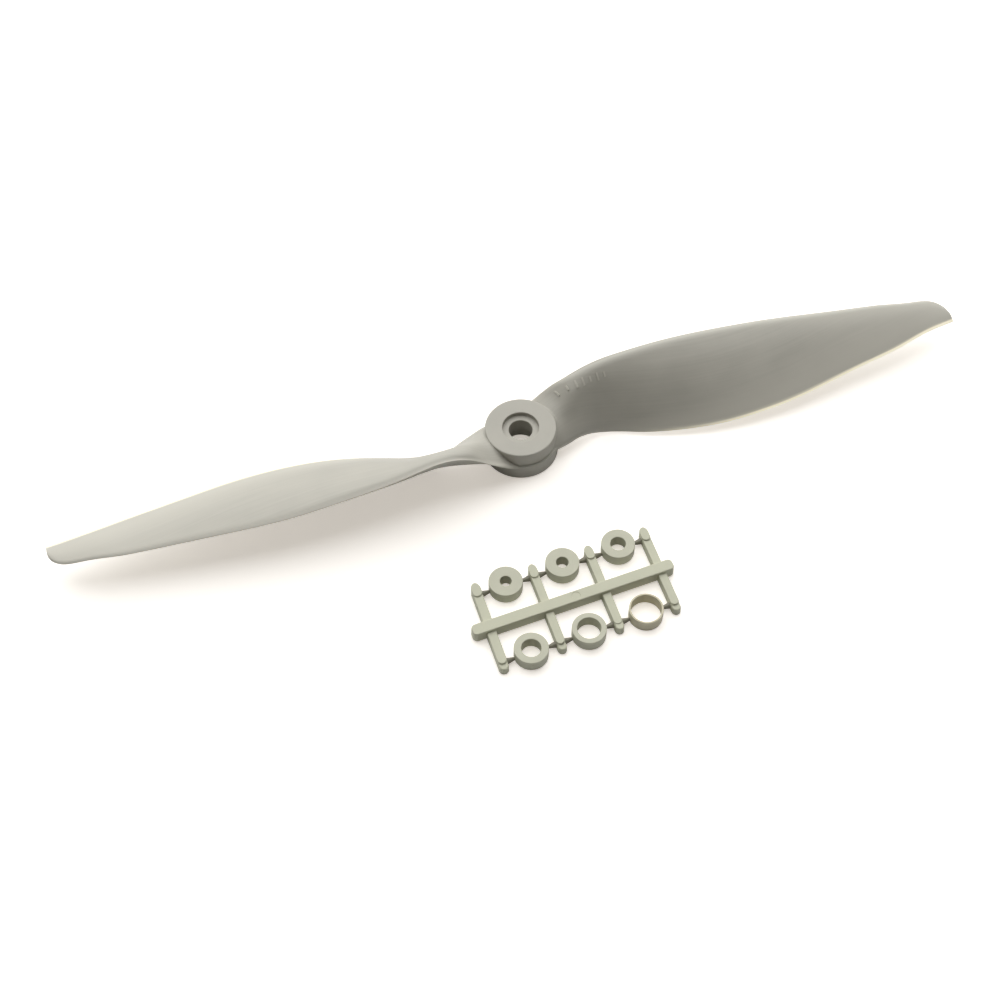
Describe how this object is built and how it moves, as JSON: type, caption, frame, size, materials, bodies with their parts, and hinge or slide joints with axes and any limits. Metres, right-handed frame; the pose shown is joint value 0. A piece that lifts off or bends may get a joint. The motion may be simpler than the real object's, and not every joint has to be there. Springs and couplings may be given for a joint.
{
  "type": "model aircraft propeller with adapter rings",
  "caption": "Two-blade electric model aircraft propeller with a bored, recessed hub, beside its moulded tree of break-off shaft adapter rings.",
  "frame": {"origin": "on the hub's axis, in the plane of its back face, which is the plane the propeller and the ring tree lie on", "axes": "+Z along the shaft bore out of the front face; +X along one blade, with that blade's leading edge on the +Y side"},
  "size_m": [0.254, 0.0793, 0.0168],
  "materials": {
    "blade_nylon": "satin moulded glass-filled nylon, warm grey",
    "runner_nylon": "matte moulded nylon, pale green grey",
    "ring_nylon": "matte moulded nylon with faint turning marks",
    "thin_nylon": "thin-walled nylon that lets a little light through"
  },
  "bodies": {
    "propeller": {"hub": "blade_nylon", "blade_right": "blade_nylon", "blade_left": "blade_nylon"},
    "ring_tree": {"runner_bar": "runner_nylon", "arm_rear_1": "runner_nylon", "arm_front_1": "runner_nylon", "arm_toe_1": "runner_nylon", "ejector_pad_1": "runner_nylon", "arm_rear_2": "runner_nylon", "arm_front_2": "runner_nylon", "arm_toe_2": "runner_nylon", "ejector_pad_2": "runner_nylon", "arm_rear_3": "runner_nylon", "arm_front_3": "runner_nylon", "arm_toe_3": "runner_nylon", "ejector_pad_3": "runner_nylon", "arm_rear_4": "runner_nylon", "arm_front_4": "runner_nylon", "arm_toe_4": "runner_nylon", "ejector_pad_4": "runner_nylon", "gate_left_1": "runner_nylon", "gate_right_1": "runner_nylon", "gate_left_2": "runner_nylon", "gate_right_2": "runner_nylon", "gate_left_3": "runner_nylon", "gate_right_3": "runner_nylon", "gate_left_4": "runner_nylon", "gate_right_4": "runner_nylon", "gate_left_5": "runner_nylon", "gate_right_5": "runner_nylon", "gate_left_6": "runner_nylon", "gate_right_6": "runner_nylon"},
    "ring_1": {"adapter_ring_1": "ring_nylon"},
    "ring_2": {"adapter_ring_2": "ring_nylon"},
    "ring_3": {"adapter_ring_3": "ring_nylon"},
    "ring_4": {"adapter_ring_4": "ring_nylon"},
    "ring_5": {"adapter_ring_5": "ring_nylon"},
    "ring_6": {"adapter_ring_6": "thin_nylon"}
  },
  "joints": [
    {"name": "ring_tree_lift", "type": "slide", "parent": "propeller", "child": "ring_tree", "axis": [0, 0, 1], "range_m": [0, 0.02]},
    {"name": "ring_1_snap_out", "type": "slide", "parent": "ring_tree", "child": "ring_1", "axis": [0, 0, 1], "range_m": [0, 0.012]},
    {"name": "ring_2_snap_out", "type": "slide", "parent": "ring_tree", "child": "ring_2", "axis": [0, 0, 1], "range_m": [0, 0.012]},
    {"name": "ring_3_snap_out", "type": "slide", "parent": "ring_tree", "child": "ring_3", "axis": [0, 0, 1], "range_m": [0, 0.012]},
    {"name": "ring_4_snap_out", "type": "slide", "parent": "ring_tree", "child": "ring_4", "axis": [0, 0, 1], "range_m": [0, 0.012]},
    {"name": "ring_5_snap_out", "type": "slide", "parent": "ring_tree", "child": "ring_5", "axis": [0, 0, 1], "range_m": [0, 0.012]},
    {"name": "ring_6_snap_out", "type": "slide", "parent": "ring_tree", "child": "ring_6", "axis": [0, 0, 1], "range_m": [0, 0.012]}
  ]
}
